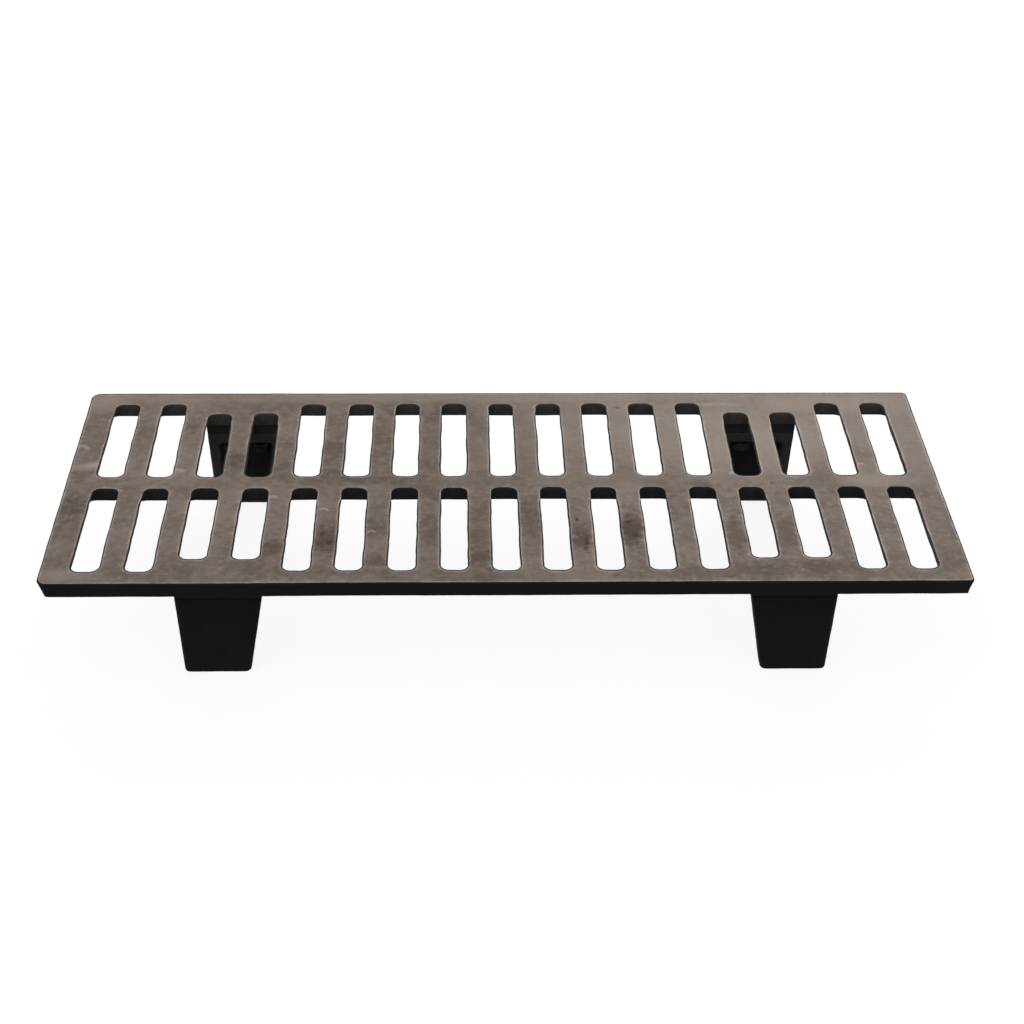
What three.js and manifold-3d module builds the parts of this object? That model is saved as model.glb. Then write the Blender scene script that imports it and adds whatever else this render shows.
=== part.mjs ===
// A cast-iron log grate for a wood stove: a flat slotted plate that carries the fire, on four
// short legs. Ash falls through the slots into the open space between the legs.
//
// Frame: millimetres, +X to the right, +Y to the rear, +Z up. The origin is on the floor, under
// the middle of the plate.

import * as THREE from "three";
import { mergeVertices } from "three/addons/utils/BufferGeometryUtils.js";
import Module from "manifold-3d";

const wasm = await Module();
wasm.setup();

// ---------------------------------------------------------------- driving dimensions

const PLATE_WIDTH = 558.8;
const PLATE_DEPTH = 215.9;
const PLATE_THICKNESS = 9.525;
const GRATE_HEIGHT = 76.2;
const PLATE_CORNER_RADIUS = 5;
const EDGE_ROUND = 0.8;

// Walls that face front or rear have a foundry's least draft. Walls that face left or right
// lean much more, so that each bar is a wedge and ash that enters a slot falls free.
const CASTING_DRAFT = THREE.MathUtils.degToRad(1);
const BAR_TAPER = THREE.MathUtils.degToRad(20);

// The slots stand in two rows, front and rear, on one set of columns.
const SLOT_COLUMNS = 17;
const SLOT_PITCH = 31.55;
const SLOT_WIDTH = 16.2;
const SLOT_CORNER_RADIUS = 5.2;
const SLOT_LOWER_CORNER_RADIUS = 2;
const SLOT_RIM = 0.5;
const CENTRE_BAR = 12.7;
const LONG_SLOT_MARGIN = 13.6;
// Over each leg two slots stop short, which leaves a solid land for the leg's seat.
const SHORT_SLOT_MARGIN = 25.4;
const SHORT_SLOT_COLUMNS = [2, 3, 13, 14];

// A leg seats on a pad under the plate and tapers to its foot, mostly on its inner side.
const LEG_OUTER_AT_PLATE = 200.7;
const LEG_INNER_AT_PLATE = 146.1;
const LEG_OUTER_AT_FOOT = 198.8;
const LEG_INNER_AT_FOOT = 158;
const LEG_RECESS = 8.5;
const LEG_BACK = 24.2;
const LEG_FACE_DRAFT = THREE.MathUtils.degToRad(1);
const LEG_CORNER_RADIUS = 2.2;
const FOOT_ROUND = 1.5;
const FOOT_CORNER_RADIUS = 3.5;
const SEAT_PAD_HEIGHT = 7.9;
const SEAT_CHAMFER = 0.6;

// The back of a leg is cored out to an even wall, under a thick web that takes the bolts.
const LEG_WALL = 6;
const LEG_FRONT_WALL = 4.8;
const LEG_WEB = 8;
const FOOT_THICKNESS = 10;
const POCKET_CORNER_RADIUS = 3;
const POCKET_DRAFT = THREE.MathUtils.degToRad(2);

// Two quarter-inch hexagon bolts, each with a spring washer, hold a leg.
const BOLT_DIAMETER = 6.35;
const BOLT_LENGTH = 19.05;
const BOLT_HEAD_FLATS = 11.1;
const BOLT_HEAD_HEIGHT = 4.2;
const BOLT_FACE_DIAMETER = 10.5;
const BOLT_HEAD_CHAMFER = THREE.MathUtils.degToRad(30);
const BOLT_TIP_CHAMFER = 0.8;
const BOLT_SPACING = 20;
const BOLT_FROM_FRONT_WALL = 6.6;
const TAPPED_DEPTH = 12.5;
const WASHER_DIAMETER = 12;
const WASHER_BORE = 6.95;
const WASHER_THICKNESS = 1.6;
const WASHER_SPLIT = THREE.MathUtils.degToRad(12);

// Seated faces stand this far apart, and a hole is this much wider than its bolt all round.
const SEAT_GAP = 0.3;

const CORNER_STEPS = 5;
const ROUND_STEPS = 3;
const BOLT_SIDES = 16;
const WASHER_STEPS = 20;

// ---------------------------------------------------------------- levels and places

const PLATE_UNDERSIDE = GRATE_HEIGHT - PLATE_THICKNESS;
const PAD_FACE = PLATE_UNDERSIDE - SEAT_PAD_HEIGHT;
const LEG_TOP = PAD_FACE - SEAT_GAP;
const WEB_UNDERSIDE = LEG_TOP - LEG_WEB;
const WASHER_TOP = WEB_UNDERSIDE - SEAT_GAP;
const HEAD_TOP = WASHER_TOP - WASHER_THICKNESS - SEAT_GAP;
const HALF_DEPTH = PLATE_DEPTH / 2;
const BOLT_Y = HALF_DEPTH - LEG_RECESS - LEG_FRONT_WALL - BOLT_FROM_FRONT_WALL;
const BOLT_HOLE_RADIUS = BOLT_DIAMETER / 2 + SEAT_GAP;
const CUT_CLEARANCE = 1;

const legs = [
  { name: "front_left", sideX: -1, sideY: -1 },
  { name: "front_right", sideX: 1, sideY: -1 },
  { name: "rear_left", sideX: -1, sideY: 1 },
  { name: "rear_right", sideX: 1, sideY: 1 },
];
const webSides = legSides(WEB_UNDERSIDE);
const webCentre = (webSides.west + webSides.east) / 2;
const boltPlaces = [
  { name: "inner", x: webCentre - BOLT_SPACING / 2 },
  { name: "outer", x: webCentre + BOLT_SPACING / 2 },
];

// ---------------------------------------------------------------- materials

const bareIron = new THREE.MeshStandardMaterial({
  color: "#7a7068",
  roughness: 0.62,
  metalness: 0.35,
});
const blackedIron = new THREE.MeshStandardMaterial({
  color: "#18181b",
  roughness: 0.7,
  metalness: 0.2,
});
const boltSteel = new THREE.MeshStandardMaterial({
  color: "#34343a",
  roughness: 0.5,
  metalness: 0.7,
});

// ---------------------------------------------------------------- solids

// A closed solid through outlines with equal numbers of points. Each outline is convex and
// turns anticlockwise, seen from the end that the list runs towards.
function loft(outlines) {
  const count = outlines[0].length;
  const last = (outlines.length - 1) * count;
  const triangles = [];
  for (let start = 0; start < last; start += count) {
    for (let i = 0; i < count; i += 1) {
      const a = start + i;
      const b = start + ((i + 1) % count);
      triangles.push(a, b, b + count, a, b + count, a + count);
    }
  }
  for (let i = 1; i + 1 < count; i += 1) {
    triangles.push(0, i + 1, i, last, last + i, last + i + 1);
  }
  const geometry = new THREE.BufferGeometry().setFromPoints(outlines.flat());
  geometry.setIndex(triangles);
  return solidOf(geometry);
}

function solidOf(geometry) {
  const merged = mergeVertices(geometry);
  return new wasm.Manifold(
    new wasm.Mesh({
      numProp: 3,
      vertProperties: merged.attributes.position.array,
      triVerts: new Uint32Array(merged.index.array),
    }),
  );
}

function geometryOf(solid) {
  const { vertProperties, triVerts } = solid.getMesh();
  const geometry = new THREE.BufferGeometry();
  geometry.setAttribute("position", new THREE.BufferAttribute(vertProperties, 3));
  geometry.setIndex(new THREE.BufferAttribute(triVerts, 1));
  geometry.computeVertexNormals();
  return geometry;
}

function circle(radius, z, steps) {
  return Array.from({ length: steps }, (_, i) => {
    const angle = (i / steps) * 2 * Math.PI;
    return new THREE.Vector3(radius * Math.cos(angle), radius * Math.sin(angle), z);
  });
}

function cylinder(radius, bottom, top, steps) {
  return loft([circle(radius, bottom, steps), circle(radius, top, steps)]);
}

// The angles at which a rounded edge is drawn, from 0 to a right angle.
function quarterTurn() {
  return Array.from({ length: ROUND_STEPS + 1 }, (_, step) => ((step / ROUND_STEPS) * Math.PI) / 2);
}

// A convex polygon, anticlockwise, with each corner rounded by an arc that touches both sides.
function roundCorners(corners, radius) {
  return corners.flatMap((corner, i) => {
    const before = corners[(i + corners.length - 1) % corners.length];
    const after = corners[(i + 1) % corners.length];
    const inward = corner.clone().sub(before).normalize();
    const outward = after.clone().sub(corner).normalize();
    const turn = Math.acos(inward.dot(outward));
    const reach = radius * Math.tan(turn / 2);
    const normal = new THREE.Vector2(-inward.y, inward.x);
    const centre = corner.clone().addScaledVector(inward, -reach).addScaledVector(normal, radius);
    return Array.from({ length: CORNER_STEPS + 1 }, (_, step) => {
      const spoke = normal.clone().negate().multiplyScalar(radius);
      return spoke.rotateAround(new THREE.Vector2(), (turn * step) / CORNER_STEPS).add(centre);
    });
  });
}

// A box of sides, each moved inwards.
function shrink({ west, east, south, north }, acrossX, acrossY = acrossX) {
  return {
    west: west + acrossX,
    east: east - acrossX,
    south: south + acrossY,
    north: north - acrossY,
  };
}

// A level outline of a box of sides, with rounded corners.
function roundedBox({ west, east, south, north }, radius, z) {
  const corners = [
    new THREE.Vector2(west, south),
    new THREE.Vector2(east, south),
    new THREE.Vector2(east, north),
    new THREE.Vector2(west, north),
  ];
  return roundCorners(corners, radius).map((p) => new THREE.Vector3(p.x, p.y, z));
}

// ---------------------------------------------------------------- the slotted plate

// The slab is widest just under its rounded top edge, so that it draws upwards from the mould.
function plateSlab() {
  const box = {
    west: -PLATE_WIDTH / 2,
    east: PLATE_WIDTH / 2,
    south: -HALF_DEPTH,
    north: HALF_DEPTH,
  };
  const wall = PLATE_THICKNESS - EDGE_ROUND;
  const base = shrink(box, wall * Math.tan(BAR_TAPER), wall * Math.tan(CASTING_DRAFT));
  const outlines = [roundedBox(base, PLATE_CORNER_RADIUS, PLATE_UNDERSIDE)];
  for (const angle of quarterTurn()) {
    const z = GRATE_HEIGHT - EDGE_ROUND * (1 - Math.sin(angle));
    const inset = EDGE_ROUND * (1 - Math.cos(angle));
    outlines.push(roundedBox(shrink(box, inset), PLATE_CORNER_RADIUS - inset, z));
  }
  return loft(outlines);
}

// One slot's core: a softened rim at the top, and walls that spread towards the underside,
// where its corners are squarer.
function slotCore(x, south, north) {
  const box = { west: x - SLOT_WIDTH / 2, east: x + SLOT_WIDTH / 2, south, north };
  const throat = GRATE_HEIGHT - SLOT_RIM;
  const bottom = PLATE_UNDERSIDE - CUT_CLEARANCE;
  const wall = throat - bottom;
  const base = shrink(box, -wall * Math.tan(BAR_TAPER), -wall * Math.tan(CASTING_DRAFT));
  const rim = shrink(box, -SLOT_RIM);
  return loft([
    roundedBox(base, SLOT_LOWER_CORNER_RADIUS, bottom),
    roundedBox(box, SLOT_CORNER_RADIUS, throat),
    roundedBox(rim, SLOT_CORNER_RADIUS + SLOT_RIM, GRATE_HEIGHT),
    roundedBox(rim, SLOT_CORNER_RADIUS + SLOT_RIM, GRATE_HEIGHT + CUT_CLEARANCE),
  ]);
}

function slotCores() {
  const cores = [];
  for (let column = 0; column < SLOT_COLUMNS; column += 1) {
    const x = (column - (SLOT_COLUMNS - 1) / 2) * SLOT_PITCH;
    const short = SHORT_SLOT_COLUMNS.includes(column);
    const near = CENTRE_BAR / 2;
    const far = HALF_DEPTH - (short ? SHORT_SLOT_MARGIN : LONG_SLOT_MARGIN);
    cores.push(slotCore(x, -far, -near), slotCore(x, near, far));
  }
  return cores;
}

// ---------------------------------------------------------------- the legs

// The leg's four sides at a height, for the right rear leg. The pad under the plate follows
// the same sides, so the leg reads as one taper from the plate down.
function legSides(z) {
  const down = PLATE_UNDERSIDE - z;
  const part = down / PLATE_UNDERSIDE;
  return {
    west: THREE.MathUtils.lerp(LEG_INNER_AT_PLATE, LEG_INNER_AT_FOOT, part),
    east: THREE.MathUtils.lerp(LEG_OUTER_AT_PLATE, LEG_OUTER_AT_FOOT, part),
    south: HALF_DEPTH - LEG_BACK + down * Math.tan(LEG_FACE_DRAFT),
    north: HALF_DEPTH - LEG_RECESS - down * Math.tan(LEG_FACE_DRAFT),
  };
}

function legOutline(z, inset = 0) {
  return roundedBox(shrink(legSides(z), inset), LEG_CORNER_RADIUS - inset, z);
}

function seatPad() {
  return loft([
    legOutline(PAD_FACE, SEAT_CHAMFER),
    legOutline(PAD_FACE + SEAT_CHAMFER),
    legOutline(PLATE_UNDERSIDE + CUT_CLEARANCE),
  ]);
}

// The foot's lower edge is rounded by an inset that follows a quarter circle.
function legBlock() {
  const foot = quarterTurn().map((angle) => {
    const z = FOOT_ROUND * (1 - Math.cos(angle));
    const inset = FOOT_ROUND * (1 - Math.sin(angle));
    return roundedBox(shrink(legSides(z), inset), FOOT_CORNER_RADIUS - inset, z);
  });
  return loft([...foot, legOutline(LEG_TOP - SEAT_CHAMFER), legOutline(LEG_TOP, SEAT_CHAMFER)]);
}

// The pocket opens to the grate's middle. Its sides keep an even wall inside the leg's taper.
function pocketOutline(y, inset) {
  const floor = FOOT_THICKNESS;
  const low = legSides(floor);
  const high = legSides(WEB_UNDERSIDE);
  const corners = [
    new THREE.Vector2(low.west + LEG_WALL + inset, floor + inset),
    new THREE.Vector2(low.east - LEG_WALL - inset, floor + inset),
    new THREE.Vector2(high.east - LEG_WALL - inset, WEB_UNDERSIDE),
    new THREE.Vector2(high.west + LEG_WALL + inset, WEB_UNDERSIDE),
  ];
  return roundCorners(corners, POCKET_CORNER_RADIUS).map((p) => new THREE.Vector3(p.x, y, p.y));
}

function pocketCore() {
  const wall = HALF_DEPTH - LEG_RECESS - LEG_FRONT_WALL;
  const mouth = HALF_DEPTH - LEG_BACK - CUT_CLEARANCE;
  const drawnIn = (wall - mouth) * Math.tan(POCKET_DRAFT);
  return loft([pocketOutline(wall, drawnIn), pocketOutline(mouth, 0)]);
}

function boltHoles(bottom, top) {
  return boltPlaces.map(({ x }) =>
    cylinder(BOLT_HOLE_RADIUS, bottom, top, BOLT_SIDES).translate(x, BOLT_Y, 0),
  );
}

function legCasting() {
  const holes = boltHoles(WEB_UNDERSIDE - CUT_CLEARANCE, LEG_TOP + CUT_CLEARANCE);
  return [pocketCore(), ...holes].reduce((leg, cut) => leg.subtract(cut), legBlock());
}

// The plate's casting: the slab with a seat pad at each leg, blind holes in the pads, and slots.
function plateCasting() {
  const pad = seatPad();
  const holes = boltHoles(PAD_FACE - CUT_CLEARANCE, PAD_FACE + TAPPED_DEPTH);
  let plate = plateSlab();
  for (const { sideX, sideY } of legs) {
    plate = plate.add(pad.scale([sideX, sideY, 1]));
    for (const hole of holes) {
      plate = plate.subtract(hole.scale([sideX, sideY, 1]));
    }
  }
  return slotCores().reduce((slotted, core) => slotted.subtract(core), plate);
}

// ---------------------------------------------------------------- the fixings

// A hexagon head whose lower corners are turned off by a shallow cone, and a plain shank.
function bolt() {
  const headBottom = HEAD_TOP - BOLT_HEAD_HEIGHT;
  const cornerRadius = BOLT_HEAD_FLATS / Math.sqrt(3);
  const tipRadius = BOLT_DIAMETER / 2 - BOLT_TIP_CHAMFER;
  const tip = HEAD_TOP + BOLT_LENGTH;
  const faceRadius = BOLT_FACE_DIAMETER / 2;
  const chamferHeight = (cornerRadius - faceRadius) * Math.tan(BOLT_HEAD_CHAMFER);
  const hexagon = cylinder(cornerRadius, headBottom, HEAD_TOP, 6);
  const turned = loft([
    circle(faceRadius, headBottom, BOLT_SIDES),
    circle(cornerRadius, headBottom + chamferHeight, BOLT_SIDES),
    circle(cornerRadius, HEAD_TOP, BOLT_SIDES),
  ]);
  const shank = loft([
    circle(BOLT_DIAMETER / 2, HEAD_TOP - CUT_CLEARANCE, BOLT_SIDES),
    circle(BOLT_DIAMETER / 2, tip - BOLT_TIP_CHAMFER, BOLT_SIDES),
    circle(tipRadius, tip, BOLT_SIDES),
  ]);
  return hexagon.intersect(turned).add(shank);
}

// A spring washer: a flat ring of square-cut wire with a narrow split.
function springWasher() {
  const outlines = Array.from({ length: WASHER_STEPS + 1 }, (_, step) => {
    const angle = WASHER_SPLIT / 2 + (step / WASHER_STEPS) * (2 * Math.PI - WASHER_SPLIT);
    const spoke = new THREE.Vector3(Math.cos(angle), Math.sin(angle), 0);
    const low = WASHER_TOP - WASHER_THICKNESS;
    const at = (radius, z) => spoke.clone().multiplyScalar(radius).setZ(z);
    return [
      at(WASHER_BORE / 2, low),
      at(WASHER_BORE / 2, WASHER_TOP),
      at(WASHER_DIAMETER / 2, WASHER_TOP),
      at(WASHER_DIAMETER / 2, low),
    ];
  });
  return loft(outlines);
}

// ---------------------------------------------------------------- assembly

function piece(name, geometry, material) {
  const mesh = new THREE.Mesh(geometry, material);
  mesh.name = name;
  return mesh;
}

const grate = new THREE.Group();
grate.add(piece("grate_plate", geometryOf(plateCasting()), bareIron));

const legGeometry = geometryOf(legCasting());
const boltGeometry = geometryOf(bolt());
const washerGeometry = geometryOf(springWasher());

for (const { name, sideX, sideY } of legs) {
  const corner = new THREE.Group();
  const leg = piece(`leg_${name}`, legGeometry, blackedIron);
  leg.scale.set(sideX, sideY, 1);
  corner.add(leg);
  for (const place of boltPlaces) {
    const fixing = new THREE.Group();
    fixing.position.set(sideX * place.x, sideY * BOLT_Y, 0);
    fixing.add(piece(`bolt_${name}_${place.name}`, boltGeometry, boltSteel));
    fixing.add(piece(`spring_washer_${name}_${place.name}`, washerGeometry, boltSteel));
    corner.add(fixing);
  }
  grate.add(corner);
}

export default grate;
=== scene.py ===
# %% [markdown]
# # A cast-iron log grate
#
# A log grate lies in a wood stove or fireplace and holds the burning logs above the ash. This
# one is a flat plate, cast in one piece with 34 slots, on four short legs. Each leg is a casting
# of its own, held by two bolts from below.
#
# The imported model is loaded first, as a fixed frame. It has every piece at its real size, so
# each piece that follows is made in the same place, in metres, with +X to the right, +Y to the
# rear and +Z up.

# %% Load the frame
import math
import bmesh
import bpy
from mathutils import Matrix, Vector, noise


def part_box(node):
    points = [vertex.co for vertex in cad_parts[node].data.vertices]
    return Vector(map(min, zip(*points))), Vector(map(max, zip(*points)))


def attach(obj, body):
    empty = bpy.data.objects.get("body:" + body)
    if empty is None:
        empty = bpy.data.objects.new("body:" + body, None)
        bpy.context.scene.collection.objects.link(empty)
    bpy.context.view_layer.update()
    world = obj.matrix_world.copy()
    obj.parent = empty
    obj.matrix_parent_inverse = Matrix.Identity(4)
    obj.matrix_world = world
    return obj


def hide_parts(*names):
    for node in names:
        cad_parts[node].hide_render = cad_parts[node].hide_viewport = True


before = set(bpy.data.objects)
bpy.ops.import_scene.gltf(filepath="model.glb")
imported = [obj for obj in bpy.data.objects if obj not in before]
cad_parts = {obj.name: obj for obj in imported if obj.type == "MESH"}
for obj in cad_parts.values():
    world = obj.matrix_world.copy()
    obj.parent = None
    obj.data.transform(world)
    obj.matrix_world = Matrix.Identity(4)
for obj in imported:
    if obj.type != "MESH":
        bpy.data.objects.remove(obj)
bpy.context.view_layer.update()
MM = 0.001
print("the frame holds", len(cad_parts), "nodes")

# %% [markdown]
# ## Node trees as formulas
#
# Both the shapes and the finishes below are node trees. A tree could be built by hand in the
# editor, or here with one long call for each node. A small class makes it readable instead: a
# Field stands for a node's output, and a sum or a product of fields adds the Math node for it.

# %% A field is a node's output that sums can be written with
class Field:
    def __init__(self, tree, socket):
        self.tree = tree
        self.socket = socket

    def math(self, operation, *others):
        return node(self.tree, "ShaderNodeMath", (self, *others), operation=operation)[0]

    def vector_math(self, operation, *others):
        """The same for vectors. A LENGTH is a number, and is the node's second output."""
        output = 1 if operation == "LENGTH" else 0
        return node(self.tree, "ShaderNodeVectorMath", (self, *others), operation=operation)[output]

    def scaled(self, amount):
        return node(self.tree, "ShaderNodeVectorMath", {0: self, "Scale": amount}, operation="SCALE")[0]

    def __add__(self, other):
        return self.math("ADD", other)

    def __sub__(self, other):
        return self.math("SUBTRACT", other)

    def __mul__(self, other):
        return self.math("MULTIPLY", other)

    def __truediv__(self, other):
        return self.math("DIVIDE", other)

    def __neg__(self):
        return self.math("MULTIPLY", -1.0)

    def between(self, low, high):
        """0 at low, 1 at high, a smooth ramp from one to the other, and level beyond them."""
        inputs = {"Value": self, "From Min": low, "From Max": high}
        return node(self.tree, "ShaderNodeMapRange", inputs, interpolation_type="SMOOTHSTEP")[0]


# %% Add a node to a tree and feed its inputs
def feed(tree, target, inputs):
    """Gives a node's inputs, by name or in order, their fields or plain values."""
    pairs = inputs.items() if isinstance(inputs, dict) else enumerate(inputs)
    for key, value in pairs:
        if isinstance(value, Field):
            tree.links.new(value.socket, target.inputs[key])
        else:
            target.inputs[key].default_value = value


def node(tree, kind, inputs=(), **settings):
    """Adds a node and returns its outputs as fields."""
    made = tree.nodes.new(kind)
    for name, value in settings.items():
        setattr(made, name, value)
    feed(tree, made, inputs)
    return [Field(tree, output) for output in made.outputs]


def vector(tree, x=0.0, y=0.0, z=0.0):
    return node(tree, "ShaderNodeCombineXYZ", (x, y, z))[0]


def parts_of(tree, value):
    """A vector's x, y and z."""
    return node(tree, "ShaderNodeSeparateXYZ", (value,))


# %% [markdown]
# A Geometry Nodes tree takes its sizes from named inputs, so that the same tree could make a
# longer or a coarser grate. The modifier knows an input by its socket's identifier. When the
# sizes are set, the evaluated object is turned into a plain mesh and the modifier goes.

# %% Geometry Nodes: start a tree, and end it
SOCKETS = {float: "NodeSocketFloat", int: "NodeSocketInt", bpy.types.Material: "NodeSocketMaterial"}


def geometry_tree(name, sizes):
    """A new tree, its input geometry, a field for each size, and its end node."""
    tree = bpy.data.node_groups.new(name, "GeometryNodeTree")
    tree.interface.new_socket("Geometry", in_out="INPUT", socket_type="NodeSocketGeometry")
    tree.interface.new_socket("Geometry", in_out="OUTPUT", socket_type="NodeSocketGeometry")
    for label, value in sizes.items():
        tree.interface.new_socket(label, in_out="INPUT", socket_type=SOCKETS[type(value)])
    start, *fields = node(tree, "NodeGroupInput")
    named = dict(zip(sizes, fields))
    end = tree.nodes.new("NodeGroupOutput")
    return tree, start, named, end


def finish_tree(tree, geometry, material, end):
    """Ends a tree in real geometry that has its material."""
    real = node(tree, "GeometryNodeRealizeInstances", {"Geometry": geometry})[0]
    painted = node(tree, "GeometryNodeSetMaterial", {"Geometry": real, "Material": material})[0]
    feed(tree, end, {"Geometry": painted})


print("a tree's sizes may be", ", ".join(kind.__name__ for kind in SOCKETS))

# %% Run a tree, and keep what it makes as a plain mesh
def make_with_tree(name, tree, sizes, start=None):
    """Runs a tree on a mesh and returns the result as an object with a plain mesh."""
    piece = add_object(name, start or bpy.data.meshes.new(name))
    modifier = piece.modifiers.new("shape", "NODES")
    modifier.node_group = tree
    for item in tree.interface.items_tree:
        if item.in_out == "INPUT" and item.name in sizes:
            modifier[item.identifier] = sizes[item.name]
    make_plain(piece)
    return piece


def add_object(name, data):
    made = bpy.data.objects.new(name, data)
    bpy.context.scene.collection.objects.link(made)
    return made


def make_plain(piece):
    """What the modifiers show becomes the piece's own mesh, and the modifiers go."""
    bpy.context.view_layer.update()
    graph = bpy.context.evaluated_depsgraph_get()
    plain = bpy.data.meshes.new_from_object(piece.evaluated_get(graph))
    piece.modifiers.clear()
    piece.data = plain


# %% [markdown]
# ## Iron, bare and blacked
# Wide pale places towards the rear and the rear right of the top are painted sheen.
#
# The top of the real plate has been ground flat, so it shows bare iron: grey-brown, clouded by
# heat, with the fine marks of the grinder along its length. Logs and ash have left dark stains
# in the middle of the bars and small bright nicks, and handling has rubbed the rims paler.
# Everything the grinder didn't reach keeps the foundry's black coat over a sandy cast skin.
#
# Two materials could meet at the plate's top edge, but the line between them would be as sharp
# as a cut. One material with both finishes is better. The plate's mesh, made further down, tells
# it how far each point has come towards the rim and over it, in an attribute named towards_rim.
# The finish fades from one to the other by that distance, and noise makes the line uneven. A
# second attribute, in_slot, tells it where a slot's walls are. There, more so at the rear, and in
# the hollow backs of the legs, the black is paled towards ash grey: settled ash, and painted light
# that lifts the shade of these recesses.

# %% Start a material
PLATE_LOW, PLATE_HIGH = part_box("grate_plate")
TOP = PLATE_HIGH.z
print("the top face is", round(TOP / MM, 1), "mm up")


def new_material(name):
    """A material, its tree, its main shader, and the place of each point in metres."""
    material = bpy.data.materials.new(name)
    material.use_nodes = True
    tree = material.node_tree
    shader = tree.nodes["Principled BSDF"]
    place = node(tree, "ShaderNodeTexCoord")[3]
    return material, tree, shader, place


def attribute(tree, name):
    """A number that the mesh has stored on its points."""
    return node(tree, "ShaderNodeAttribute", attribute_name=name)[2]


# %% Noise, blends and relief
def cloud(tree, place, size, detail=3.0, roughness=0.55, distortion=0.0):
    """Noise from about 0 to 1 whose patches are about size across, in metres."""
    inputs = {
        "Vector": place, "Scale": 1 / size, "Detail": detail,
        "Roughness": roughness, "Distortion": distortion,
    }
    return node(tree, "ShaderNodeTexNoise", inputs)[0]


# A Mix node has sockets for each kind of value. These are the ones for colours.
MIX_COLOURS = (6, 7)
MIX_RESULT = 2


def blend_colours(tree, share, first, second):
    """first where share is 0, second where it is 1. Each is a colour or a field."""
    inputs = {0: share}
    for key, value in zip(MIX_COLOURS, (first, second)):
        inputs[key] = value if isinstance(value, Field) else (*value, 1.0)
    return node(tree, "ShaderNodeMix", inputs, data_type="RGBA")[MIX_RESULT]


def bump(tree, height, distance, strength=1.0, under=None):
    """A relief of that height in metres, on top of another one if there is one."""
    inputs = {"Height": height, "Distance": distance, "Strength": strength}
    if under:
        inputs["Normal"] = under
    return node(tree, "ShaderNodeBump", inputs)[0]


# %% The foundry's black coat, as a colour, a roughness and a relief
COAT_BLACK = (0.0126, 0.0140, 0.0164)
COAT_BROWN = (0.0200, 0.0186, 0.0178)
COAT_DUST = (0.0360, 0.0350, 0.0350)
COAT_SPECULAR = 0.03
COAT_RELIEF = 0.35 * MM
# Ash grey: settled ash, and painted light that lifts the shade of the slots' walls and the legs' hollow
# backs.
ASH_DUST_AND_PAINTED_LIGHT = (0.100, 0.095, 0.088)


def black_coat(tree, place):
    drift = cloud(tree, place, 40 * MM, detail=4.0)
    sand = cloud(tree, place, 1.4 * MM, detail=2.0, roughness=0.6)
    lumps = cloud(tree, place, 7 * MM, detail=2.0)
    colour = blend_colours(tree, drift.between(0.45, 0.75), COAT_BLACK, COAT_BROWN)
    colour = blend_colours(tree, sand.between(0.62, 0.85), colour, COAT_DUST)
    roughness = sand * 0.22 + (drift * 0.2 + 0.42)
    relief = sand * 0.3 + lumps
    return colour, roughness, relief


# %% Marks with a place of their own: stains, spots and nicks
SPOT_FADE = (1.3, 0.3)
ARC_FADE = (0.75, 0.0)
ARC_STRETCH = (-0.2, 0.8)


def around(tree, place, x, y, wide, deep, turn=0.0):
    """The place as seen from a point of the top face, in units of a mark's half width and depth."""
    inputs = {
        "Vector": place,
        "Location": (x * MM, y * MM, TOP),
        "Rotation": (0.0, 0.0, math.radians(turn)),
        "Scale": (wide * MM, deep * MM, 1.0),
    }
    return node(tree, "ShaderNodeMapping", inputs, vector_type="TEXTURE")[0]


def strongest(fields):
    """The largest of some fields at each point."""
    total = fields[0]
    for field in fields[1:]:
        total = total.math("MAXIMUM", field)
    return total


def spots(tree, place, ragged, marks):
    """Up to 1 in the middle of each oval spot and 0 outside. Noise makes the outlines ragged."""
    fields = []
    for x, y, wide, deep, strength in marks:
        from_middle = around(tree, place, x, y, wide, deep).vector_math("LENGTH")
        fields.append((from_middle + ragged).between(*SPOT_FADE) * strength)
    return strongest(fields)


def crescents(tree, place, ragged, marks):
    """The thin arcs that a falling log's corner leaves: a stretch of a ring round a point."""
    fields = []
    for x, y, radius, turn in marks:
        local = around(tree, place, x, y, radius, radius, turn)
        off_ring = (local.vector_math("LENGTH") - 1.0).math("ABSOLUTE")
        stretch = parts_of(tree, local)[1].between(*ARC_STRETCH)
        fields.append((off_ring + ragged).between(*ARC_FADE) * stretch)
    return strongest(fields)


# %% Where the marks are, in millimetres from the middle of the top face
# Stains, black spots and pale places each have an x, a y, a half width, a half depth and a
# strength. A nick has an x, a y, a radius and a turn in degrees.
STAINS = (
    (-112, -62, 9, 15, 0.80), (-140, -72, 9, 11, 0.60), (-79, -86, 12, 7, 0.50),
    (-125, -96, 40, 8, 0.30), (-206, 64, 7, 8, 0.50), (-174, 25, 8, 12, 0.55),
    (-270, -27, 8, 14, 0.50), (-270, 6, 9, 7, 0.35), (-114, 40, 10, 9, 0.35), (-15, -84, 12, 9, 0.45),
    (77, -54, 10, 19, 0.90), (47, -62, 7, 12, 0.70), (141, -60, 10, 22, 0.55),
    (174, -55, 10, 20, 0.50), (125, -97, 62, 9, 0.42), (205, -92, 34, 7, 0.35), (126, -4, 12, 5, 0.40),
    (-95, 2, 45, 6, 0.30), (16, -40, 8, 26, 0.25),
)
BLACK_SPOTS = (
    (44, -43, 1.6, 1.9, 0.80), (75.5, -46, 2.3, 2.6, 0.70), (49, -66, 1.7, 4.5, 0.70),
    (48, -74, 2.0, 2.4, 0.60), (78, 88, 2.6, 1.7, 0.55), (-108, -67, 2.6, 3.0, 0.50),
    (-113, -58, 1.8, 2.2, 0.45), (-81, -53, 1.2, 1.4, 0.35), (171, -3, 2.2, 1.6, 0.40),
    (79, -60, 2.0, 2.6, 0.45),
)
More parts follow.
